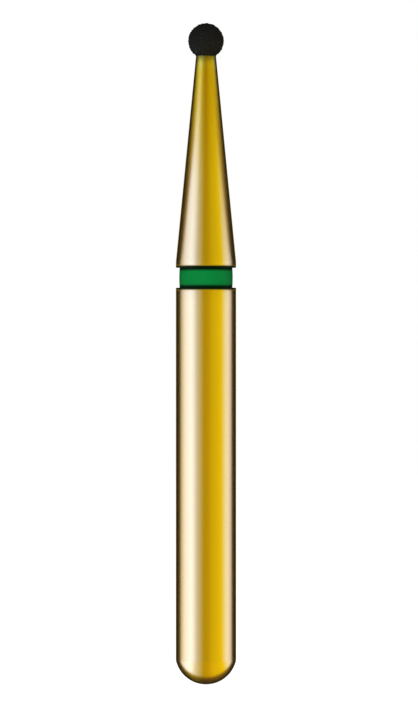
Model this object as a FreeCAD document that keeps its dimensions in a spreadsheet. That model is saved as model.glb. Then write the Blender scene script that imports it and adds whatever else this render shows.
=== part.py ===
"""Dental bur for a friction-grip chuck: a turned, gold-plated steel blank with a round head.

The blank is one turned piece: a shank with a domed end, a shallow groove, a tapered neck and a
small ball. A green colour ring lies in the groove, and a layer of black diamond grit covers the
ball. Sizes are in millimetres. The bur stands along the Z axis with its head up, and the origin
is the lowest point of the shank's domed end.
"""

import FreeCAD, Part
import enum
import math
import os

import Sketcher

# Name, size in millimetres, and what the size is.
DRIVING_DIMENSIONS = [
    ("shank_diameter", 1.60, "the length that the chuck grips, and the land"),
    ("overall_length", 17.56, "from the domed end to the top of the head"),
    ("shank_length", 10.53, "from the domed end to the ring groove"),
    ("end_dome_height", 0.64, "dome that ends the shank, up to the corner that the blend rounds"),
    ("end_blend_radius", 0.30, "rounds the corner between the dome and the shank"),
    ("groove_width", 0.53, "ring groove, measured along the bur"),
    ("groove_diameter", 1.28, "floor of the ring groove"),
    ("lip_chamfer", 0.025, "breaks the two outer edges of the groove"),
    ("land_length", 0.15, "full diameter between the groove and the neck"),
    ("neck_diameter", 0.53, "where the neck enters the head"),
    ("ring_thickness", 0.07, "lacquer on the groove's floor, at its crown"),
    ("ring_crown", 0.01, "by how much the lacquer is thinner at the groove's walls"),
    ("head_diameter", 0.96, "ball, measured over the grit"),
    ("grit_thickness", 0.13, "from the blank's ball to the tips of the grit"),
]

FULL_TURN = 360.0  # degrees
QUARTER_TURN = math.pi / 2  # radians
SAME_SIZE = 1e-6  # millimetres between two sizes that are taken as equal


class Place(enum.IntEnum):
    """Sketcher's numbers for the places on an element of a sketch."""

    START = 1
    END = 2
    CENTRE = 3


class Fixed(enum.IntEnum):
    """Sketcher's numbers for the axes that every sketch has. The first starts at the origin."""

    LEVEL_AXIS = -1
    UPRIGHT_AXIS = -2


SKETCH_ORIGIN = (Fixed.LEVEL_AXIS, Place.START)


def make_sheet(doc):
    """Writes the driving dimensions to a spreadsheet, each with its name as the cell's alias."""
    sheet = doc.addObject("Spreadsheet::Sheet", "Sizes")
    for row, (name, size, meaning) in enumerate(DRIVING_DIMENSIONS, start=1):
        sheet.set(f"A{row}", name)
        sheet.set(f"B{row}", str(size))
        sheet.setAlias(f"B{row}", name)
        sheet.set(f"C{row}", meaning)
    doc.recompute()
    return sheet


def section_sketch(body, name):
    """A sketch on the body's XZ plane, where x is a radius and y is a height."""
    sketch = body.newObject("Sketcher::SketchObject", name)
    plane = next(item for item in body.Origin.OriginFeatures if item.Role == "XZ_Plane")
    sketch.AttachmentSupport = [(plane, "")]
    sketch.MapMode = "FlatFace"
    return sketch


def turn(body, kind, name, sketch):
    """Turns the sketch about the bur's axis, as added or removed material."""
    feature = body.newObject(kind, name)
    feature.Profile = sketch
    feature.ReferenceAxis = (sketch, ["V_Axis"])
    feature.Angle = FULL_TURN
    sketch.Document.recompute()
    return feature


def add_line(sketch, start, end):
    return sketch.addGeometry(Part.LineSegment(point(*start), point(*end)))


def add_arc(sketch, centre, radius, from_angle, to_angle, construction=False):
    circle = Part.Circle(point(*centre), FreeCAD.Vector(0, 0, 1), radius)
    return sketch.addGeometry(Part.ArcOfCircle(circle, from_angle, to_angle), construction)


def add_helper_point(sketch, radius, height):
    """A construction point, for a corner that a dimension is measured to."""
    return sketch.addGeometry(Part.Point(point(radius, height)), True)


def point(radius, height):
    return FreeCAD.Vector(radius, height, 0)


def joined(sketch, first, second):
    """Holds two points of the sketch together. Each point is an element and a place on it."""
    sketch.addConstraint(Sketcher.Constraint("Coincident", *first, *second))


def tangent(sketch, first, second):
    """Joins the ends of two elements so that one runs smoothly into the other."""
    sketch.addConstraint(Sketcher.Constraint("Tangent", *first, *second))


def on_element(sketch, place, element):
    sketch.addConstraint(Sketcher.Constraint("PointOnObject", *place, element))


def bind(sketch, name, kind, places, drawn, expression):
    """Adds a named dimension at the size that is drawn, and ties it to the sheet."""
    number = sketch.addConstraint(Sketcher.Constraint(kind, *places, drawn))
    sketch.renameConstraint(number, name)
    sketch.setExpression(f"Constraints.{name}", expression)


def bind_radius(sketch, name, element, expression):
    """Ties an arc's own radius to the sheet."""
    bind(sketch, name, "Radius", (element,), sketch.Geometry[element].Radius, expression)


def bind_distance_out(sketch, name, place, expression):
    """Ties a point's distance from the bur's axis to the sheet."""
    drawn = sketch.getPoint(*place).x
    bind(sketch, name, "DistanceX", (*SKETCH_ORIGIN, *place), drawn, expression)


def bind_height(sketch, name, place, expression):
    """Ties a point's height above the domed end to the sheet."""
    drawn = sketch.getPoint(*place).y
    bind(sketch, name, "DistanceY", (*SKETCH_ORIGIN, *place), drawn, expression)


def draw_turned_outline(sketch, sheet):
    """Half of the blank's section, a closed line up the outside and back down the axis."""
    dome, blend = draw_domed_end(sketch, sheet)
    neck, ball = draw_neck_and_ball(sketch, sheet)
    side_foot = sketch.getPoint(blend, Place.END)
    side_top = sketch.getPoint(neck, Place.START)
    ball_top = sketch.getPoint(ball, Place.END)
    side = add_line(sketch, (side_foot.x, side_foot.y), (side_top.x, side_top.y))
    axis = add_line(sketch, (0, 0), (ball_top.x, ball_top.y))

    joined(sketch, (dome, Place.START), SKETCH_ORIGIN)
    joined(sketch, (axis, Place.START), SKETCH_ORIGIN)
    tangent(sketch, (blend, Place.END), (side, Place.START))
    joined(sketch, (side, Place.END), (neck, Place.START))
    joined(sketch, (ball, Place.END), (axis, Place.END))
    on_element(sketch, (axis, Place.END), Fixed.UPRIGHT_AXIS)
    sketch.addConstraint(Sketcher.Constraint("Vertical", side))
    bind_distance_out(sketch, "shank_radius", (side, Place.END), "Sizes.shank_diameter / 2")

    corner = add_helper_point(sketch, sheet.shank_diameter / 2, sheet.end_dome_height)
    on_element(sketch, (corner, Place.START), dome)
    on_element(sketch, (corner, Place.START), side)
    bind_height(sketch, "dome_height", (corner, Place.START), "Sizes.end_dome_height")


def draw_domed_end(sketch, sheet):
    """The dome that closes the shank, and the arc that blends it into the shank's side."""
    shank_radius = sheet.shank_diameter / 2
    dome_radius = (shank_radius**2 + sheet.end_dome_height**2) / (2 * sheet.end_dome_height)
    blend_out = shank_radius - sheet.end_blend_radius
    blend_drop = math.sqrt((dome_radius - sheet.end_blend_radius) ** 2 - blend_out**2)
    meeting_angle = math.atan2(-blend_drop, blend_out)
    dome = add_arc(sketch, (0, dome_radius), dome_radius, -QUARTER_TURN, meeting_angle)
    blend = add_arc(
        sketch, (blend_out, dome_radius - blend_drop), sheet.end_blend_radius, meeting_angle, 0
    )
    on_element(sketch, (dome, Place.CENTRE), Fixed.UPRIGHT_AXIS)
    tangent(sketch, (dome, Place.END), (blend, Place.START))
    bind_radius(sketch, "end_blend", blend, "Sizes.end_blend_radius")
    return dome, blend


def draw_neck_and_ball(sketch, sheet):
    """The neck's taper, which runs on inside the grit, and the ball that it ends in."""
    neck_foot = sheet.shank_length + sheet.groove_width + sheet.land_length
    head_radius = sheet.head_diameter / 2
    ball_radius = head_radius - sheet.grit_thickness
    head_height = sheet.overall_length - head_radius
    entry_radius = sheet.neck_diameter / 2
    entry_drop = math.sqrt(head_radius**2 - entry_radius**2)
    taper = (sheet.shank_diameter / 2 - entry_radius) / (head_height - entry_drop - neck_foot)
    root_radius, root_drop = neck_root(entry_radius, entry_drop, taper, ball_radius)
    root_angle = math.atan2(-root_drop, root_radius)

    neck = add_line(
        sketch, (sheet.shank_diameter / 2, neck_foot), (root_radius, head_height - root_drop)
    )
    ball = add_arc(sketch, (0, head_height), ball_radius, root_angle, QUARTER_TURN)
    head = add_arc(sketch, (0, head_height), head_radius, -QUARTER_TURN, QUARTER_TURN, True)
    entry = add_helper_point(sketch, entry_radius, head_height - entry_drop)

    joined(sketch, (neck, Place.END), (ball, Place.START))
    joined(sketch, (head, Place.CENTRE), (ball, Place.CENTRE))
    for place in ((ball, Place.CENTRE), (head, Place.START), (head, Place.END)):
        on_element(sketch, place, Fixed.UPRIGHT_AXIS)
    on_element(sketch, (entry, Place.START), head)
    on_element(sketch, (entry, Place.START), neck)

    foot_height = "Sizes.shank_length + Sizes.groove_width + Sizes.land_length"
    bind_height(sketch, "neck_foot", (neck, Place.START), foot_height)
    head_middle = "Sizes.overall_length - Sizes.head_diameter / 2"
    bind_height(sketch, "head_middle", (ball, Place.CENTRE), head_middle)
    bind_distance_out(sketch, "neck_entry", (entry, Place.START), "Sizes.neck_diameter / 2")
    bind_radius(sketch, "head_radius", head, "Sizes.head_diameter / 2")
    bind_radius(sketch, "ball_radius", ball, "Sizes.head_diameter / 2 - Sizes.grit_thickness")
    return neck, ball


def neck_root(entry_radius, entry_drop, taper, ball_radius):
    """Where the neck, run on from its entry into the head, meets the ball inside.

    The entry and the root are each given by their radius and by their drop below the head's
    middle. A step up the cone from the entry narrows it by the taper, so the root is where
    (entry_radius - taper * step)**2 + (entry_drop - step)**2 equals ball_radius**2.
    """
    square = 1 + taper**2
    half_linear = entry_drop + taper * entry_radius
    rest = entry_radius**2 + entry_drop**2 - ball_radius**2
    step = (half_linear - math.sqrt(half_linear**2 - square * rest)) / square
    return entry_radius - taper * step, entry_drop - step


def draw_floor_and_walls(sketch, sheet, reach, reach_expression):
    """The ring groove's floor, and both its walls out to a distance from the axis.

    Returns the outer ends of the lower and the upper wall, between which the section is closed.
    """
    floor_radius = sheet.groove_diameter / 2
    foot = sheet.shank_length
    top = foot + sheet.groove_width
    floor = add_line(sketch, (floor_radius, foot), (floor_radius, top))
    lower_wall = add_line(sketch, (floor_radius, foot), (reach, foot))
    upper_wall = add_line(sketch, (floor_radius, top), (reach, top))
    joined(sketch, (floor, Place.START), (lower_wall, Place.START))
    joined(sketch, (floor, Place.END), (upper_wall, Place.START))
    sketch.addConstraint(Sketcher.Constraint("Vertical", floor))
    for wall, name in ((lower_wall, "lower_reach"), (upper_wall, "upper_reach")):
        sketch.addConstraint(Sketcher.Constraint("Horizontal", wall))
        bind_distance_out(sketch, name, (wall, Place.END), reach_expression)
    bind_distance_out(sketch, "floor_radius", (floor, Place.START), "Sizes.groove_diameter / 2")
    bind_height(sketch, "foot", (floor, Place.START), "Sizes.shank_length")
    bind_height(sketch, "top", (floor, Place.END), "Sizes.shank_length + Sizes.groove_width")
    return (lower_wall, Place.END), (upper_wall, Place.END)


def draw_groove_section(sketch, sheet):
    """What the groove takes away. It reaches to twice the shank's radius, clear of the metal."""
    reach = sheet.shank_diameter
    lower_end, upper_end = draw_floor_and_walls(sketch, sheet, reach, "Sizes.shank_diameter")
    foot = sketch.getPoint(*lower_end).y
    top = sketch.getPoint(*upper_end).y
    mouth = add_line(sketch, (reach, foot), (reach, top))
    joined(sketch, (mouth, Place.START), lower_end)
    joined(sketch, (mouth, Place.END), upper_end)


def draw_ring_section(sketch, sheet):
    """The lacquer on the groove's floor, whose face slopes up from both walls to a crown."""
    crown_radius = sheet.groove_diameter / 2 + sheet.ring_thickness
    edge_radius = crown_radius - sheet.ring_crown
    lower_end, upper_end = draw_floor_and_walls(
        sketch,
        sheet,
        edge_radius,
        "Sizes.groove_diameter / 2 + Sizes.ring_thickness - Sizes.ring_crown",
    )
    foot = sketch.getPoint(*lower_end).y
    top = sketch.getPoint(*upper_end).y
    crown = (crown_radius, (foot + top) / 2)
    lower_slope = add_line(sketch, (edge_radius, foot), crown)
    upper_slope = add_line(sketch, crown, (edge_radius, top))
    joined(sketch, (lower_slope, Place.START), lower_end)
    joined(sketch, (lower_slope, Place.END), (upper_slope, Place.START))
    joined(sketch, (upper_slope, Place.END), upper_end)
    crown_place = (lower_slope, Place.END)
    crown_reach = "Sizes.groove_diameter / 2 + Sizes.ring_thickness"
    bind_distance_out(sketch, "crown_radius", crown_place, crown_reach)
    bind_height(sketch, "crown_height", crown_place, "Sizes.shank_length + Sizes.groove_width / 2")


def round_edge(shape, radius, height):
    """Name of the circular edge of that radius, about the bur's axis, at that height."""
    for number, edge in enumerate(shape.Edges, start=1):
        if edge.Degenerated or not isinstance(edge.Curve, Part.Circle):
            continue
        circle = edge.Curve
        if (
            abs(circle.Radius - radius) < SAME_SIZE
            and abs(circle.Center.z - height) < SAME_SIZE
            and abs(circle.Axis.z) > 1 - SAME_SIZE
        ):
            return f"Edge{number}"
    raise RuntimeError(f"no round edge of radius {radius} at height {height}")


def make_steel_blank(doc, sheet):
    """The turned piece: shank, ring groove, land, neck and the ball under the grit."""
    body = doc.addObject("PartDesign::Body", "SteelBlank")
    body.Label = "steel_blank"
    outline = section_sketch(body, "TurnedOutline")
    draw_turned_outline(outline, sheet)
    turned = turn(body, "PartDesign::Revolution", "Turned", outline)

    groove_section = section_sketch(body, "GrooveSection")
    draw_groove_section(groove_section, sheet)
    groove = turn(body, "PartDesign::Groove", "RingGroove", groove_section)
    if not groove.Shape.Volume < turned.Shape.Volume:
        raise RuntimeError("the ring groove cut nothing")

    shank_radius = sheet.shank_diameter / 2
    groove_top = sheet.shank_length + sheet.groove_width
    lip_edges = [
        round_edge(groove.Shape, shank_radius, height)
        for height in (sheet.shank_length, groove_top)
    ]
    lips = body.newObject("PartDesign::Chamfer", "GrooveLips")
    lips.Base = (groove, lip_edges)
    lips.setExpression("Size", "Sizes.lip_chamfer")
    doc.recompute()
    return body


def make_colour_ring(doc, sheet):
    """Green lacquer that lies on the groove's floor, from one wall of the groove to the other."""
    body = doc.addObject("PartDesign::Body", "ColourRing")
    body.Label = "colour_ring"
    section = section_sketch(body, "RingSection")
    draw_ring_section(section, sheet)
    turn(body, "PartDesign::Revolution", "Ring", section)
    return body


def make_diamond_layer(doc, blank):
    """The grit that makes the head: a ball, less the blank's own ball and neck inside it."""
    ball = doc.addObject("Part::Sphere", "HeadBall")
    ball.setExpression("Radius", "Sizes.head_diameter / 2")
    ball.setExpression("Placement.Base.z", "Sizes.overall_length - Sizes.head_diameter / 2")
    layer = doc.addObject("Part::Cut", "DiamondLayer")
    layer.Label = "diamond_layer"
    layer.Base = ball
    layer.Tool = blank
    doc.recompute()
    return layer


def check(doc, sub_parts):
    """Stops the build if an object failed, a sketch is loose or a sub-part isn't a sound solid."""
    for item in doc.Objects:
        if "Invalid" in item.State or "Error" in item.State:
            raise RuntimeError(f"{item.Name} failed: {item.State}")
        if item.isDerivedFrom("Sketcher::SketchObject") and not item.FullyConstrained:
            raise RuntimeError(f"{item.Name} isn't fully constrained")
    for part in sub_parts:
        if part.Shape.isNull() or not part.Shape.isValid() or not part.Shape.Solids:
            raise RuntimeError(f"{part.Label} has no sound solid")


def main():
    doc = FreeCAD.newDocument("DentalBur")
    sheet = make_sheet(doc)
    blank = make_steel_blank(doc, sheet)
    ring = make_colour_ring(doc, sheet)
    layer = make_diamond_layer(doc, blank)
    doc.recompute()

    sub_parts = [blank, ring, layer]
    check(doc, sub_parts)
    os.makedirs("parts", exist_ok=True)
    for part in sub_parts:
        part.Shape.exportStep(f"parts/{part.Label}.step")
        print(part.Label, round(part.Shape.Volume, 4), "mm3")


main()
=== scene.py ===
"""Looks of the dental bur: gold-plated blank, green lacquer ring and black diamond head.

Everything is in metres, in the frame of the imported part: the bur stands along Z, its head up,
with the lowest point of its domed end at the origin.
"""

import math
import random

import bmesh
import bpy
from mathutils import Matrix, Vector, noise


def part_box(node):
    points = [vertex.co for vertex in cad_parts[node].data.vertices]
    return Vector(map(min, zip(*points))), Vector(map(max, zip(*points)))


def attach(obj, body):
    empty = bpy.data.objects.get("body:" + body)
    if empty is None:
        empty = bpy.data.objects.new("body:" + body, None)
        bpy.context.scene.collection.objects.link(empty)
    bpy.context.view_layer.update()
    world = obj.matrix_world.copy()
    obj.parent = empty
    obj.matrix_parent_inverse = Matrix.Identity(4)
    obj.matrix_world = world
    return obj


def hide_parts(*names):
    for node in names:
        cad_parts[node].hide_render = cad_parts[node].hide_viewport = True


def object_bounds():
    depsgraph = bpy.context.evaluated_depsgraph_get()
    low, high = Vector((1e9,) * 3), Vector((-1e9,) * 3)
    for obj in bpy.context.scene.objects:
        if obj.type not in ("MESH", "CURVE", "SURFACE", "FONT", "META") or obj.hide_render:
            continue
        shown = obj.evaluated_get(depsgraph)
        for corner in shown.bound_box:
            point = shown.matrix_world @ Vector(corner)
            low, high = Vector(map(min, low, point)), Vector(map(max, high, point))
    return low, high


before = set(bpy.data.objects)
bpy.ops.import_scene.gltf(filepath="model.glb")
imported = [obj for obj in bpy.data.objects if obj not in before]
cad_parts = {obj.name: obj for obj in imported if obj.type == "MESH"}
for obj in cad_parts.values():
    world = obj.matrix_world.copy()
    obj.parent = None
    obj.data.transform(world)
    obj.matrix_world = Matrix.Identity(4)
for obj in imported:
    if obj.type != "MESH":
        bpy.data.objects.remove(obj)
cad_low, cad_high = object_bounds()

MM = 0.001
PER_MM = 1 / MM
MICRON = 1e-6
FULL_TURN = math.tau
QUARTER_TURN = math.pi / 2
UP = Vector((0, 0, 1))
FORWARDS = Vector((0, -1, 0))

# Sizes that the frame gives
_, blank_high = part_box("steel_blank")
ring_low, ring_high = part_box("colour_ring")
_, head_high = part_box("diamond_layer")
SHANK_RADIUS = blank_high.x
GROOVE_FOOT = ring_low.z
GROOVE_TOP = ring_high.z
RING_RADIUS = ring_high.x
HEAD_RADIUS = head_high.x
HEAD_MIDDLE = head_high.z - HEAD_RADIUS
CORE_RADIUS = blank_high.z - HEAD_MIDDLE
BUR_MIDDLE = (cad_low.z + cad_high.z) / 2

# Sizes of the blank and the ring that their boxes don't show
DOME_HEIGHT = 0.64 * MM
BLEND_RADIUS = 0.30 * MM  # between the dome and the shank's side
GROOVE_RADIUS = 0.64 * MM
LIP_CHAMFER = 0.025 * MM
LAND_TOP = GROOVE_TOP + 0.15 * MM
SHOULDER_ROUNDING = 0.06 * MM
NECK_ENTRY_RADIUS = 0.265 * MM
NECK_ENTRY = HEAD_MIDDLE - math.sqrt(HEAD_RADIUS**2 - NECK_ENTRY_RADIUS**2)
NECK_END_RADIUS = NECK_ENTRY_RADIUS - 0.01 * MM  # inside the grit, where the small ball begins
RING_CROWN = 0.01 * MM

# The black head: bond metal, and the diamonds that stand out of it
BOND_RADIUS = HEAD_RADIUS - 0.014 * MM
BOND_ON_NECK = 0.008 * MM
BOND_INNER_RADIUS = 0.6 * NECK_ENTRY_RADIUS  # well inside the neck, so that no gap shows
BOND_WAVE = 0.003 * MM
BOND_WAVE_COUNT = 9  # along the ball's radius
COLLAR_HEIGHT = 0.02 * MM
COLLAR_FLARE = 0.002 * MM
COLLAR_ROUNDING = 0.014 * MM
DIAMOND_COUNT = 360
DIAMOND_SEED = 7
DIAMOND_SIZE = (0.062 * MM, 0.085 * MM)
DIAMOND_STRETCH = (0.82, 1.12)
DIAMOND_TRUNCATION = 0.32  # of its size, at each corner
DIAMOND_SCATTER = 0.035  # as a share of the head's radius
CLEAR_OF_NECK = 0.06  # also as a share of the head's radius
TIP_DROP = 0.003 * MM

TURN_STEPS = 192
BOND_TURN_STEPS = 120
MERGE_WITHIN = 0.05 * MICRON
SMOOTH_BELOW = 40  # degrees between faces
CRYSTAL_SMOOTH_BELOW = 10


# Meshes

def finish_piece(bm, name, material, sharp_degrees=SMOOTH_BELOW):
    """Closes the mesh, turns its faces outwards and makes a smooth shaded object of it."""
    bmesh.ops.remove_doubles(bm, verts=bm.verts, dist=MERGE_WITHIN)
    bmesh.ops.recalc_face_normals(bm, faces=bm.faces)
    for face in bm.faces:
        face.smooth = True
    mesh = bpy.data.meshes.new(name)
    bm.to_mesh(mesh)
    bm.free()
    mesh.set_sharp_from_angle(angle=math.radians(sharp_degrees))
    mesh.materials.append(material)
    piece = bpy.data.objects.new(name, mesh)
    bpy.context.scene.collection.objects.link(piece)
    return piece


def add_corner(bm, radius, height, previous=None):
    """A vertex of the section, joined to the one before it."""
    corner = bm.verts.new((radius, 0, height))
    if previous is not None:
        bm.edges.new((previous, corner))
    return corner


def add_arc(bm, start, centre, turn, steps):
    """An arc of the section, from a vertex about a centre given as (radius, height)."""
    middle = Vector((centre[0], 0, centre[1]))
    swept = bmesh.ops.spin(bm, geom=[start], cent=middle, axis=FORWARDS, angle=turn, steps=steps)
    return next(item for item in swept["geom_last"] if isinstance(item, bmesh.types.BMVert))


def add_straight(bm, start, radius, height, rows):
    """A straight stretch of the section, cut into rows."""
    here = start.co.copy()
    end = Vector((radius, 0, height))
    last = start
    for row in range(1, rows + 1):
        place = here.lerp(end, row / rows)
        last = add_corner(bm, place.x, place.z, last)
    return last


def bevel_corners(bm, corners, reach, steps):
    """Bevels corners from the given reach away: flat in one step, and round in more."""
    return bmesh.ops.bevel(
        bm,
        geom=corners,
        offset=reach,
        offset_type="OFFSET",
        affect="VERTICES",
        segments=steps,
        profile=0.5,
        material=-1,
    )


def turn_section(bm, steps=TURN_STEPS):
    """Spins the section once round the bur's axis."""
    bmesh.ops.spin(
        bm,
        geom=[*bm.verts, *bm.edges],
        cent=(0, 0, 0),
        axis=UP,
        angle=FULL_TURN,
        steps=steps,
        use_merge=True,
    )


def neck_height(radius):
    """Height at which the neck's cone has that radius."""
    share = (SHANK_RADIUS - radius) / (SHANK_RADIUS - NECK_ENTRY_RADIUS)
    return LAND_TOP + share * (NECK_ENTRY - LAND_TOP)


def add_domed_end(bm):
    """The dome and its blend into the shank. It gives the corner at the foot of the side."""
    dome_radius = (SHANK_RADIUS**2 + DOME_HEIGHT**2) / (2 * DOME_HEIGHT)
    blend_out = SHANK_RADIUS - BLEND_RADIUS
    blend_drop = math.sqrt((dome_radius - BLEND_RADIUS) ** 2 - blend_out**2)
    blend_turn = math.atan2(blend_drop, blend_out)
    blend_centre = (blend_out, dome_radius - blend_drop)
    apex = add_corner(bm, 0, 0)
    dome_edge = add_arc(bm, apex, (0, dome_radius), QUARTER_TURN - blend_turn, steps=28)
    return add_arc(bm, dome_edge, blend_centre, blend_turn, steps=8)


def add_small_ball(bm, neck_end):
    """The small ball under the grit, from the neck's end up to its top."""
    drop = HEAD_MIDDLE - neck_height(NECK_END_RADIUS)
    turn = math.atan2(drop, NECK_END_RADIUS)
    foot_radius = CORE_RADIUS * math.cos(turn)
    foot_height = HEAD_MIDDLE - CORE_RADIUS * math.sin(turn)
    foot = add_corner(bm, foot_radius, foot_height, neck_end)
    add_arc(bm, foot, (0, HEAD_MIDDLE), QUARTER_TURN + turn, steps=16)


def make_blank(material):
    """The turned blank: domed end, shank, ring groove, land, neck and the ball under the grit."""
    bm = bmesh.new()
    side_foot = add_domed_end(bm)
    lower_lip = add_straight(bm, side_foot, SHANK_RADIUS, GROOVE_FOOT, rows=24)
    floor_foot = add_corner(bm, GROOVE_RADIUS, GROOVE_FOOT, lower_lip)
    floor_top = add_corner(bm, GROOVE_RADIUS, GROOVE_TOP, floor_foot)
    upper_lip = add_corner(bm, SHANK_RADIUS, GROOVE_TOP, floor_top)
    shoulder = add_corner(bm, SHANK_RADIUS, LAND_TOP, upper_lip)
    neck_end_height = neck_height(NECK_END_RADIUS)
    neck_end = add_straight(bm, shoulder, NECK_END_RADIUS, neck_end_height, rows=20)
    add_small_ball(bm, neck_end)
    bevel_corners(bm, [lower_lip, upper_lip], LIP_CHAMFER, steps=3)
    bevel_corners(bm, [shoulder], SHOULDER_ROUNDING, steps=4)
    turn_section(bm)
    return finish_piece(bm, "gold_plated_blank", material)


def make_ring(material):
    """The lacquer in the groove. Its face is crowned midway between the groove's walls."""
    bm = bmesh.new()
    half_width = (GROOVE_TOP - GROOVE_FOOT) / 2
    bow_radius = (half_width**2 + RING_CROWN**2) / (2 * RING_CROWN)
    half_turn = math.asin(half_width / bow_radius)
    bow_centre = (RING_RADIUS - bow_radius, GROOVE_FOOT + half_width)
    floor_top = add_corner(bm, GROOVE_RADIUS, GROOVE_TOP)
    floor_foot = add_corner(bm, GROOVE_RADIUS, GROOVE_FOOT, floor_top)
    face_foot = add_corner(bm, RING_RADIUS - RING_CROWN, GROOVE_FOOT, floor_foot)
    face_top = add_arc(bm, face_foot, bow_centre, 2 * half_turn, steps=24)
    bm.edges.new((face_top, floor_top))
    turn_section(bm)
    return finish_piece(bm, "green_lacquer_ring", material)


def make_bond(material):
    """Bond metal over the ball, uneven between the diamonds, with a soft edge on the neck."""
    bm = bmesh.new()
    foot_radius = NECK_ENTRY_RADIUS + BOND_ON_NECK
    foot_drop = math.sqrt(BOND_RADIUS**2 - foot_radius**2)
    foot_turn = math.atan2(foot_drop, foot_radius)
    apex = add_corner(bm, 0, HEAD_MIDDLE + BOND_RADIUS)
    ball_foot = add_arc(bm, apex, (0, HEAD_MIDDLE), -(QUARTER_TURN + foot_turn), steps=40)
    collar_foot = ball_foot.co.z - COLLAR_HEIGHT
    collar_edge = add_corner(bm, foot_radius + COLLAR_FLARE, collar_foot, ball_foot)
    add_corner(bm, BOND_INNER_RADIUS, collar_foot, collar_edge)
    bevel_corners(bm, [ball_foot], COLLAR_ROUNDING, steps=4)
    turn_section(bm, BOND_TURN_STEPS)
    middle = Vector((0, 0, HEAD_MIDDLE))
    for vert in bm.verts:
        outward = (vert.co - middle).normalized()
        vert.co += outward * BOND_WAVE * noise.noise(outward * BOND_WAVE_COUNT)
    return finish_piece(bm, "black_bond", material)


def spread_direction(rank, count, nudge):
    """One of many directions spread evenly over a ball, by equal steps of height and the golden
    angle, each moved a little."""
    height = 1 - 2 * (rank + 0.5) / count
    reach = math.sqrt(1 - height**2)
    turn = rank * math.pi * (3 - math.sqrt(5))
    direction = Vector((reach * math.cos(turn), reach * math.sin(turn), height))
    return (direction + nudge).normalized()


def meets_neck(direction):
    """Whether a diamond in that direction would lie against the neck."""
    reach = Vector((direction.x, direction.y)).length
    return direction.z < 0 and reach < NECK_ENTRY_RADIUS / HEAD_RADIUS + CLEAR_OF_NECK


def add_diamond(bm, size, direction, draw):
    """One blocky crystal, its farthest corner just inside the head's outer size."""
    made = bmesh.ops.create_cube(bm, size=size)
    cut = bevel_corners(bm, made["verts"], size * DIAMOND_TRUNCATION, steps=1)
    corners = list({vert for face in cut["faces"] for vert in face.verts})
    stretch = Matrix.Diagonal([draw.uniform(*DIAMOND_STRETCH) for _ in range(3)])
    lean = Matrix.Rotation(draw.uniform(0, FULL_TURN), 3, "Z")
    tumble = Vector([draw.gauss(0, 1) for _ in range(3)]).to_track_quat("Z", "Y").to_matrix()
    for vert in corners:
        vert.co = tumble @ lean @ stretch @ vert.co
    tip = HEAD_RADIUS - draw.uniform(0, TIP_DROP)
    reach = max(vert.co.dot(direction) for vert in corners)
    place = Vector((0, 0, HEAD_MIDDLE)) + direction * (tip - reach)
    for vert in corners:
        vert.co += place


def make_diamonds(material):
    """Diamonds all round the head, except where the neck enters it."""
    draw = random.Random(DIAMOND_SEED)
    bm = bmesh.new()
    for rank in range(DIAMOND_COUNT):
        nudge = Vector([draw.gauss(0, DIAMOND_SCATTER) for _ in range(3)])
        size = draw.uniform(*DIAMOND_SIZE)
        direction = spread_direction(rank, DIAMOND_COUNT, nudge)
        if not meets_neck(direction):
            add_diamond(bm, size, direction, draw)
    return finish_piece(bm, "black_diamonds", material, CRYSTAL_SMOOTH_BELOW)


# Material tools

def new_material(name):
    """A material with the nodes that it starts with, its tree and its shader."""
    material = bpy.data.materials.new(name)
    material.use_nodes = True
    return material, material.node_tree, material.node_tree.nodes["Principled BSDF"]


def connect(tree, source, socket):
    """Links another node's socket to the input, or sets the input to a plain value."""
    if isinstance(source, bpy.types.NodeSocket):
        tree.links.new(source, socket)
    else:
        socket.default_value = source


def add_node(tree, kind, values=None, **settings):
    """A node with its settings, and with values or links for its inputs."""
    made = tree.nodes.new(kind)
    for name, value in settings.items():
        setattr(made, name, value)
    for place, value in (values or {}).items():
        connect(tree, value, made.inputs[place])
    return made


def calculate(tree, operation, *numbers, clamp=False):
    """Result of an operation on one to three numbers or links, kept from 0 to 1 if clamped."""
    values = dict(enumerate(numbers))
    made = add_node(tree, "ShaderNodeMath", values, operation=operation, use_clamp=clamp)
    return made.outputs[0]


def calculate_vector(tree, operation, *vectors):
    """Result of an operation on one or two vectors or links."""
    values = dict(enumerate(vectors))
    return add_node(tree, "ShaderNodeVectorMath", values, operation=operation).outputs[0]


def scale_colour(tree, colour, factor):
    """The colour, brighter or darker by the factor."""
    values = {0: colour, "Scale": factor}
    return add_node(tree, "ShaderNodeVectorMath", values, operation="SCALE").outputs[0]


def mix_values(tree, share, first, second):
    """The first value where the share is 0, and the second where it is 1."""
    values = {"Factor": share, "A": first, "B": second}
    return add_node(tree, "ShaderNodeMix", values, data_type="FLOAT").outputs["Result"]


def mix_colours(tree, share, first, second):
    """The first colour where the share is 0, and the second where it is 1."""
    values = {"Factor": share, "A": first, "B": second}
    return add_node(tree, "ShaderNodeMix", values, data_type="RGBA").outputs["Result"]


def fade(tree, value, limits):
    """0 before the first limit, 1 after the second, and smooth between them."""
    values = {"Value": value, "From Min": limits[0], "From Max": limits[1]}
    made = add_node(tree, "ShaderNodeMapRange", values, interpolation_type="SMOOTHSTEP")
    return made.outputs["Result"]


def place_on_piece(tree, across, along):
    """Place on the piece, in cells of noise: so many to a millimetre across the bur and along."""
    coordinates = add_node(tree, "ShaderNodeTexCoord")
    cells = Vector((across, across, along)) * PER_MM
    values = {"Vector": coordinates.outputs["Object"], "Scale": cells}
    return add_node(tree, "ShaderNodeMapping", values).outputs["Vector"]


def add_noise(tree, place, detail, roughness=0.5):
    """Value of a noise at that place."""
    values = {"Vector": place, "Scale": 1, "Detail": detail, "Roughness": roughness}
    return add_node(tree, "ShaderNodeTexNoise", values).outputs[0]


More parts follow.
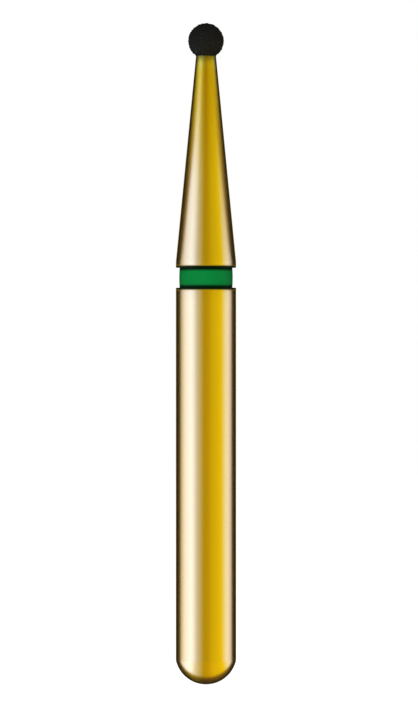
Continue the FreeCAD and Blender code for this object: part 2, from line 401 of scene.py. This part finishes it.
def add_relief(tree, shader, height, strength, distance):
    """Fine relief of the surface, by its height from 0 to 1 and the distance that 1 stands for."""
    values = {"Height": height, "Strength": strength, "Distance": distance}
    bump = add_node(tree, "ShaderNodeBump", values)
    connect(tree, bump.outputs["Normal"], shader.inputs["Normal"])


def set_finish(shader, finish):
    """Sets the shader's own sockets, by their names."""
    for name, value in finish.items():
        shader.inputs[name].default_value = value


def start_group(name, inputs, outputs):
    """An empty node group with the named sockets, and its two end nodes."""
    group = bpy.data.node_groups.new(name, "ShaderNodeTree")
    for label, kind in inputs:
        group.interface.new_socket(label, in_out="INPUT", socket_type=kind)
    for label, kind in outputs:
        group.interface.new_socket(label, in_out="OUTPUT", socket_type=kind)
    start = group.nodes.new("NodeGroupInput")
    end = group.nodes.new("NodeGroupOutput")
    return group, start.outputs, end.inputs


def make_tone_drift():
    """Group: slow, faint changes of a finish's colour over the piece."""
    inputs = [
        ("Place", "NodeSocketVector"),
        ("Colour", "NodeSocketColor"),
        ("Depth", "NodeSocketFloat"),
    ]
    group, start, end = start_group("tone drift", inputs, [("Colour", "NodeSocketColor")])
    cloud = add_noise(group, start["Place"], detail=3)
    swing = calculate(group, "SUBTRACT", cloud, 0.5)
    brightness = calculate(group, "MULTIPLY_ADD", swing, start["Depth"], 1.0)
    connect(group, scale_colour(group, start["Colour"], brightness), end["Colour"])
    return group


def make_height_band():
    """Group: a mask that is 1 at one height of the bur and falls to 0 within a width."""
    inputs = [("Height", "NodeSocketFloat"), ("Width", "NodeSocketFloat")]
    group, start, end = start_group("height band", inputs, [("Mask", "NodeSocketFloat")])
    coordinates = add_node(group, "ShaderNodeTexCoord")
    place = add_node(group, "ShaderNodeSeparateXYZ", {0: coordinates.outputs["Object"]})
    above = calculate(group, "SUBTRACT", place.outputs["Z"], start["Height"])
    away = calculate(group, "ABSOLUTE", above)
    share = calculate(group, "DIVIDE", away, start["Width"])
    mask = calculate(group, "SUBTRACT", 1.0, share, clamp=True)
    connect(group, mask, end["Mask"])
    return group


def use_group(tree, group, values):
    """Outputs of a node group that is given these values and links."""
    return add_node(tree, "ShaderNodeGroup", values, node_tree=group).outputs


def drift_tone(tree, tone_drift, place, colour, depth):
    """The colour, a little lighter here and darker there."""
    values = {"Place": place, "Colour": colour, "Depth": depth}
    return use_group(tree, tone_drift, values)["Colour"]


def band_mask(tree, height_band, height, width):
    """1 at the height, and 0 from the width above and below it."""
    return use_group(tree, height_band, {"Height": height, "Width": width})["Mask"]


def painted_groove_shade_masks(tree, height_band, width, gain):
    """Masks of the painted shade along the groove's two edges. The gain makes each solid near its
    middle.
    """
    masks = [band_mask(tree, height_band, height, width) for height in (GROOVE_FOOT, GROOVE_TOP)]
    return [calculate(tree, "MULTIPLY", mask, gain, clamp=True) for mask in masks]


# Materials

GOLD = (0.80, 0.45, 0.002, 1)
OLIVE_GOLD = (0.90, 0.64, 0.03, 1)
# Paler gold of a painted highlight where the neck enters the head
PAINTED_HIGHLIGHT_GOLD = (0.82, 0.72, 0.14, 1)
LACQUER = (0.001, 0.215, 0.040, 1)
# Near-black green of the painted shade along the groove's edges
PAINTED_GROOVE_SHADE = (0.0, 0.012, 0.004, 1)
BLACK_BOND = (0.008, 0.008, 0.0075, 1)
BLACK_DIAMOND = (0.010, 0.010, 0.0095, 1)

# Depth of the drift of tone, as a share of the colour
GOLD_DRIFT = 0.10
LACQUER_DRIFT = 0.12
BOND_DRIFT = 0.3
DIAMOND_DRIFT = 0.6

# Grain of the two blacks, in cells to a millimetre
BOND_GRAIN = 60
DIAMOND_GRAIN = 25

# Finishes, by the names of the shader's sockets
GOLD_FINISH = {
    "Anisotropic": 0.8,
    "Anisotropic Rotation": 0.25,
    "Coat Roughness": 0.12,
    "Coat IOR": 4.0,
    "Specular Tint": (0.02, 0.01, 0.0, 1),
}
LACQUER_FINISH = {"Roughness": 0.42, "Specular IOR Level": 0.05}
BOND_FINISH = {"Roughness": 0.7, "Specular IOR Level": 0.1}
DIAMOND_FINISH = {"Roughness": 0.45, "Specular IOR Level": 0.15}

# The gold. Its roughness is satin, plus a share of the lines, less where it is finer.
SATIN = 0.44
LINE_ROUGHNESS = 0.08
FINER_DOME = 0.20  # at the lowest point of the domed end, and less and less up to its rim
FINER_NECK = 0.14  # where the neck enters the head, and less and less down from there
NEAR_HEAD = 3.2 * MM  # how far down from the head the gold is finer, more olive, less coated
# Painted highlight: the gold is paler in a narrow band just under the head
PAINTED_HIGHLIGHT_REACH = 0.45 * MM  # how far down from the head it is paler
COAT_LOSS = 0.9  # share of the clear coat that is missing where the neck enters the head

# Painted shade along the groove's edges, where its shadow lines fall: a near-black band on the
# gold's lips, and darker lacquer at its walls
PAINTED_LIP_SHADE_WIDTH = 0.085 * MM
PAINTED_LIP_SHADE_GAIN = 1.9
PAINTED_WALL_SHADE_WIDTH = 0.10 * MM
PAINTED_WALL_SHADE_GAIN = 1.6


def colour_gold(tree, tone_drift, near_head, painted_highlight, outside_painted_shade):
    """Colour of the plating, with a painted highlight under the head and near-black painted shade
    on the groove's lips.
    """
    slow = place_on_piece(tree, across=1, along=0.35)
    plating = drift_tone(tree, tone_drift, slow, GOLD, GOLD_DRIFT)
    plating = mix_colours(tree, near_head, plating, OLIVE_GOLD)
    # Painted highlight just under the head
    plating = mix_colours(tree, painted_highlight, plating, PAINTED_HIGHLIGHT_GOLD)
    # Painted shade: near-black on the gold at the groove's lips
    return mix_colours(tree, outside_painted_shade, PAINTED_GROOVE_SHADE, plating)


def roughen_gold(tree, lines, at_dome, near_head):
    """Roughness of the plating: satin, with the lines, and finer at the bur's two ends."""
    roughness = calculate(tree, "MULTIPLY_ADD", lines, LINE_ROUGHNESS, SATIN)
    for mask, finer in ((at_dome, FINER_DOME), (near_head, FINER_NECK)):
        less = calculate(tree, "MULTIPLY", mask, finer)
        roughness = calculate(tree, "SUBTRACT", roughness, less)
    return roughness


def make_gold(tone_drift, height_band):
    """Gold plating over ground steel, with fine lines round the bur and a bright clear coat.
    At the groove's lips a near-black band of painted shade, with no metal and no coat, hides the
    plating."""
    material, tree, shader = new_material("gold_plating")
    at_dome = band_mask(tree, height_band, 0.0, DOME_HEIGHT)
    near_head = band_mask(tree, height_band, NECK_ENTRY, NEAR_HEAD)
    painted_highlight = band_mask(tree, height_band, NECK_ENTRY, PAINTED_HIGHLIGHT_REACH)
    outside_painted_shade = 1.0
    # Painted shade along the groove's lips: the plating has no colour, metal or coat there
    for painted_lip_shade in painted_groove_shade_masks(tree, height_band, PAINTED_LIP_SHADE_WIDTH, PAINTED_LIP_SHADE_GAIN):
        outside_painted_shade = calculate(tree, "SUBTRACT", outside_painted_shade, painted_lip_shade)
    colour = colour_gold(tree, tone_drift, near_head, painted_highlight, outside_painted_shade)
    connect(tree, colour, shader.inputs["Base Color"])
    connect(tree, outside_painted_shade, shader.inputs["Metallic"])

    round_the_bur = place_on_piece(tree, across=0.7, along=28)
    lines = add_noise(tree, round_the_bur, detail=4, roughness=0.6)
    add_relief(tree, shader, lines, strength=0.35, distance=0.25 * MICRON)
    connect(tree, roughen_gold(tree, lines, at_dome, near_head), shader.inputs["Roughness"])
    tangent = add_node(tree, "ShaderNodeTangent", direction_type="RADIAL", axis="Z")
    connect(tree, tangent.outputs[0], shader.inputs["Tangent"])

    coat = calculate(tree, "MULTIPLY_ADD", near_head, -COAT_LOSS, 1.0)
    coat = calculate(tree, "MULTIPLY", coat, outside_painted_shade)
    connect(tree, coat, shader.inputs["Coat Weight"])
    set_finish(shader, GOLD_FINISH)
    return material


def make_lacquer(tone_drift, height_band):
    """Baked green lacquer, with painted shade: darker along the groove's walls."""
    material, tree, shader = new_material("green_lacquer")
    slow = place_on_piece(tree, across=2, along=2)
    colour = drift_tone(tree, tone_drift, slow, LACQUER, LACQUER_DRIFT)
    # Painted shade: the lacquer turns near-black green along the groove's walls
    for painted_wall_shade in painted_groove_shade_masks(tree, height_band, PAINTED_WALL_SHADE_WIDTH, PAINTED_WALL_SHADE_GAIN):
        colour = mix_colours(tree, painted_wall_shade, colour, PAINTED_GROOVE_SHADE)
    connect(tree, colour, shader.inputs["Base Color"])
    waves = add_noise(tree, place_on_piece(tree, across=14, along=14), detail=2)
    add_relief(tree, shader, waves, strength=0.3, distance=1.0 * MICRON)
    set_finish(shader, LACQUER_FINISH)
    return material


def make_black(name, tone_drift, colour, drift, grain, finish):
    """One of the two blacks of the head, with its own fine grain."""
    material, tree, shader = new_material(name)
    coarse = place_on_piece(tree, across=6, along=6)
    tone = drift_tone(tree, tone_drift, coarse, colour, drift)
    connect(tree, tone, shader.inputs["Base Color"])
    bumps = add_noise(tree, place_on_piece(tree, across=grain, along=grain), detail=3)
    add_relief(tree, shader, bumps, strength=0.5, distance=2 * MICRON)
    set_finish(shader, finish)
    return material


def make_bond_metal(tone_drift):
    """Matt black bond metal with a very fine grain."""
    return make_black(
        "black_bond", tone_drift, BLACK_BOND, BOND_DRIFT, BOND_GRAIN, BOND_FINISH
    )


def make_diamond(tone_drift):
    """Black diamond, a little glossier than the bond and more uneven in tone."""
    return make_black(
        "black_diamond", tone_drift, BLACK_DIAMOND, DIAMOND_DRIFT, DIAMOND_GRAIN, DIAMOND_FINISH
    )


# Stage, lights and camera

FLOOR_DROP = 0.66 * MM  # how far under the domed end the floor lies
FLOOR_REACH = 400 * MM
FLOOR_WHITE = (0.9, 0.9, 0.9, 1)
FLOOR_GLOW = 0.64
TENT_RADIUS = 60 * MM
WORLD_WHITE = (1, 1, 1, 1)
WORLD_FILL = 0.45

# Panels of the light tent, as (place, colour, brightness). A surface that faces as far to the
# right as the place says, from -1 to 1, mirrors that panel forwards. The first row runs from
# below the bur up to its level, so that a highlight goes on straight over the domed end. The
# second row is above it, and the blurred gloss of the tapered neck takes in both.
WHITE_PANEL = (1.0, 1.0, 1.0)
COOL_PANEL = (0.76, 0.87, 1.0)
CREAM_PANEL = (1.0, 0.98, 0.78)
PALE_CARD = (1.0, 0.98, 0.48)
DEEP_CARD = (1.0, 0.72, 0.01)
AMBER_CARD = (1.0, 0.64, 0.01)
WARM_CARD = (1.0, 0.79, 0.01)
PANELS = [
    (-0.91, CREAM_PANEL, 0.05),
    (-0.80, CREAM_PANEL, 0.80),
    (-0.70, WHITE_PANEL, 1.42),
    (-0.60, COOL_PANEL, 1.9),
    (-0.50, COOL_PANEL, 2.15),
    (-0.40, COOL_PANEL, 1.75),
    (-0.30, CREAM_PANEL, 0.92),
    (-0.20, PALE_CARD, 0.72),
    (-0.08, DEEP_CARD, 0.60),
    (0.02, DEEP_CARD, 0.64),
    (0.10, AMBER_CARD, 0.76),
    (0.18, WARM_CARD, 0.85),
    (0.40, WARM_CARD, 1.0),
    (0.52, WARM_CARD, 1.2),
    (0.60, PALE_CARD, 1.22),
    (0.70, CREAM_PANEL, 1.42),
    (0.80, WHITE_PANEL, 1.0),
    (0.90, COOL_PANEL, 0.1),
]
UPPER_PANELS = [
    (-0.90, COOL_PANEL, 0.08),
    (-0.80, COOL_PANEL, 0.45),
    (-0.70, COOL_PANEL, 1.65),
    (-0.60, WHITE_PANEL, 1.7),
    (-0.46, CREAM_PANEL, 1.35),
    (-0.26, WARM_CARD, 0.78),
    (-0.08, DEEP_CARD, 0.62),
    (0.05, DEEP_CARD, 0.63),
    (0.30, WARM_CARD, 0.95),
    (0.56, WARM_CARD, 1.22),
    (0.68, WARM_CARD, 1.0),
    (0.84, WARM_CARD, 0.05),
]

# Straight behind the bur is a warm backdrop, and dark flags stand between it and the panels
BACKDROP = (0.95, 0.68, 0.01, 1)
FLAG_COLOUR = (0.9, 0.85, 0.6)
FLAG_LEVEL = 0.03
FLAG_ABOVE = 0.08

# Where parts of the tent fade into each other, as the two limits of how far upwards a surface
# faces that mirrors them, and then of how far forwards it faces
LEVEL_TO_UPPER = (0.125, 0.175)
FLAG_LEVEL_TO_ABOVE = (0.19, 0.40)
BACKDROP_TO_FLAGS = (0.07, 0.20)
FLAGS_TO_PANELS = (0.46, 0.60)

# How the flags lean over the panels, above and below: from which height on, and how steeply
LEAN_ABOVE = (0.14, 7.0)
LEAN_BELOW = (0.45, 0.45)


def stage_material(name):
    """A material with nothing but its output, its tree, and the socket for what it shows."""
    material = bpy.data.materials.new(name)
    material.use_nodes = True
    material.node_tree.nodes.clear()
    output = material.node_tree.nodes.new("ShaderNodeOutputMaterial")
    return material, material.node_tree, output.inputs["Surface"]


def not_lighting(tree):
    """1 for rays from the camera and for mirrored and refracted rays, and 0 for lighting rays."""
    path = add_node(tree, "ShaderNodeLightPath").outputs
    seen = calculate(tree, "ADD", path["Is Camera Ray"], path["Is Glossy Ray"])
    return calculate(tree, "ADD", seen, path["Is Transmission Ray"], clamp=True)


def make_floor():
    """A wide white floor. The bur is held a little above it."""
    bm = bmesh.new()
    bmesh.ops.create_circle(bm, cap_ends=True, segments=96, radius=FLOOR_REACH)
    bmesh.ops.translate(bm, verts=bm.verts, vec=(0, 0, -FLOOR_DROP))
    material, tree, surface = stage_material("white_floor")
    diffuse = add_node(tree, "ShaderNodeBsdfDiffuse", {"Color": FLOOR_WHITE})
    glow = calculate(tree, "MULTIPLY", not_lighting(tree), FLOOR_GLOW)
    emission = add_node(tree, "ShaderNodeEmission", {"Strength": glow})
    both = add_node(tree, "ShaderNodeAddShader", {0: diffuse.outputs[0], 1: emission.outputs[0]})
    tree.links.new(both.outputs[0], surface)
    floor = finish_piece(bm, "floor", material)
    floor.visible_glossy = False


def panels_across(tree, rightwards, panels):
    """Light of a row of panels across the tent. The ramp holds it brought down to 1."""
    peak = max(brightness for _, _, brightness in panels)
    share = calculate(tree, "MULTIPLY_ADD", rightwards, 0.5, 0.5)
    ramp = add_node(tree, "ShaderNodeValToRGB", {0: share})
    points = ramp.color_ramp.elements
    points.remove(points[1])
    for number, (place, colour, brightness) in enumerate(panels):
        share_of_ramp = (place + 1) / 2
        point = points[0] if number == 0 else points.new(share_of_ramp)
        point.position = share_of_ramp
        point.color = [channel * brightness / peak for channel in colour] + [1]
    return scale_colour(tree, ramp.outputs[0], peak)


def mirrored_facing(tree):
    """Which way a surface faces that mirrors a point of the tent forwards. It is halfway between
    the way to that point and forwards."""
    coordinates = add_node(tree, "ShaderNodeTexCoord")
    middle = (0, 0, BUR_MIDDLE)
    outward = calculate_vector(tree, "SUBTRACT", coordinates.outputs["Object"], middle)
    outward = calculate_vector(tree, "NORMALIZE", outward)
    halfway = calculate_vector(tree, "ADD", outward, FORWARDS)
    facing = calculate_vector(tree, "NORMALIZE", halfway)
    return add_node(tree, "ShaderNodeSeparateXYZ", {0: facing}).outputs


def front_light(tree, facing):
    """Light of the two rows of panels, one above the other."""
    level = panels_across(tree, facing["X"], PANELS)
    upper = panels_across(tree, facing["X"], UPPER_PANELS)
    return mix_colours(tree, fade(tree, facing["Z"], LEVEL_TO_UPPER), level, upper)


def rear_light(tree, facing, forwards):
    """Light of the warm backdrop and of the dark flags, which are less dark high up."""
    above = fade(tree, facing["Z"], FLAG_LEVEL_TO_ABOVE)
    brightness = mix_values(tree, above, FLAG_LEVEL, FLAG_ABOVE)
    flags = scale_colour(tree, FLAG_COLOUR, brightness)
    return mix_colours(tree, fade(tree, forwards, BACKDROP_TO_FLAGS), BACKDROP, flags)


def lean_flags(tree, facing, forwards):
    """How far forwards a surface faces, less what the flags lean over it above and below."""
    downwards = calculate(tree, "MULTIPLY", facing["Z"], -1.0)
    for height, (start, slope) in ((facing["Z"], LEAN_ABOVE), (downwards, LEAN_BELOW)):
        beyond = calculate(tree, "SUBTRACT", height, start)
        beyond = calculate(tree, "MAXIMUM", beyond, 0.0)
        lean = calculate(tree, "MULTIPLY", beyond, slope)
        forwards = calculate(tree, "SUBTRACT", forwards, lean)
    return forwards


def make_tent_light():
    """Material of the tent: panels in front, dark flags at the sides, the backdrop behind."""
    material, tree, surface = stage_material("light_tent")
    facing = mirrored_facing(tree)
    forwards = calculate(tree, "MULTIPLY", facing["Y"], -1.0)
    behind = rear_light(tree, facing, forwards)
    front = fade(tree, lean_flags(tree, facing, forwards), FLAGS_TO_PANELS)
    light = mix_colours(tree, front, behind, front_light(tree, facing))
    emission = add_node(tree, "ShaderNodeEmission", {"Color": light})
    tree.links.new(emission.outputs[0], surface)
    return material


def make_tent():
    """A light tent round the bur, which is seen only in gloss."""
    bm = bmesh.new()
    bmesh.ops.create_icosphere(bm, subdivisions=4, radius=TENT_RADIUS)
    bmesh.ops.translate(bm, verts=bm.verts, vec=(0, 0, BUR_MIDDLE))
    tent = finish_piece(bm, "light_tent", make_tent_light())
    for rays in ("camera", "diffuse", "transmission", "shadow", "volume_scatter"):
        setattr(tent, f"visible_{rays}", False)


def add_softbox(name, azimuth, elevation, distance, size, radiance):
    """A square soft light that fills in the colours and leaves the gloss to the tent."""
    light = bpy.data.lights.new(name, "AREA")
    light.size = size
    light.energy = radiance * math.pi * size**2
    lamp = bpy.data.objects.new(name, light)
    turn = math.radians(azimuth)
    rise = math.radians(elevation)
    level = Vector((math.sin(turn), -math.cos(turn), 0))
    to_lamp = level * math.cos(rise) + UP * math.sin(rise)
    lamp.location = UP * BUR_MIDDLE + to_lamp * distance
    lamp.rotation_euler = (-to_lamp).to_track_quat("-Z", "Y").to_euler()
    lamp.visible_camera = False
    lamp.visible_glossy = False
    bpy.context.scene.collection.objects.link(lamp)


def set_world():
    """White where it is seen or mirrored, and a plainer fill where it lights."""
    world = bpy.data.worlds.new("studio")
    bpy.context.scene.world = world
    world.use_nodes = True
    tree = world.node_tree
    background = tree.nodes["Background"]
    background.inputs["Color"].default_value = WORLD_WHITE
    values = {"Value": not_lighting(tree), "To Min": WORLD_FILL, "To Max": 1.0}
    strength = add_node(tree, "ShaderNodeMapRange", values)
    tree.links.new(strength.outputs["Result"], background.inputs["Strength"])


def set_camera():
    """Level with the bur's middle, far away, so that the bur is seen square from the side."""
    image_width = 418
    image_height = 707
    shank_width_in_image = 60.27
    axis_in_image = 206.0
    foot_in_image = 684.4
    pixel = 2 * SHANK_RADIUS / shank_width_in_image
    data = bpy.data.cameras.new("camera")
    camera = bpy.data.objects.new("camera", data)
    bpy.context.scene.collection.objects.link(camera)
    bpy.context.scene.camera = camera
    data.lens = 400
    data.sensor_width = 36
    distance = image_height * pixel * data.lens / data.sensor_width
    right = (image_width / 2 - axis_in_image) * pixel
    up = (foot_in_image - image_height / 2) * pixel
    camera.location = (right, -distance, up)
    camera.rotation_euler = (QUARTER_TURN, 0, 0)
    data.clip_start = 10 * MM
    data.clip_end = 10


# Putting the bur together

tone_drift = make_tone_drift()
height_band = make_height_band()
gold = make_gold(tone_drift, height_band)
lacquer = make_lacquer(tone_drift, height_band)
bond_black = make_bond_metal(tone_drift)
diamond_black = make_diamond(tone_drift)

blank = make_blank(gold)
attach(blank, "root")
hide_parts("steel_blank")

ring = make_ring(lacquer)
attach(ring, "root")
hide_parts("colour_ring")

bond = make_bond(bond_black)
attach(bond, "root")
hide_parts("diamond_layer")

diamonds = make_diamonds(diamond_black)
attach(diamonds, "root")

make_floor()
make_tent()
add_softbox("key", azimuth=-10, elevation=20, distance=150 * MM, size=110 * MM, radiance=3.6)
set_world()
set_camera()
bpy.context.scene.view_settings.view_transform = "Standard"
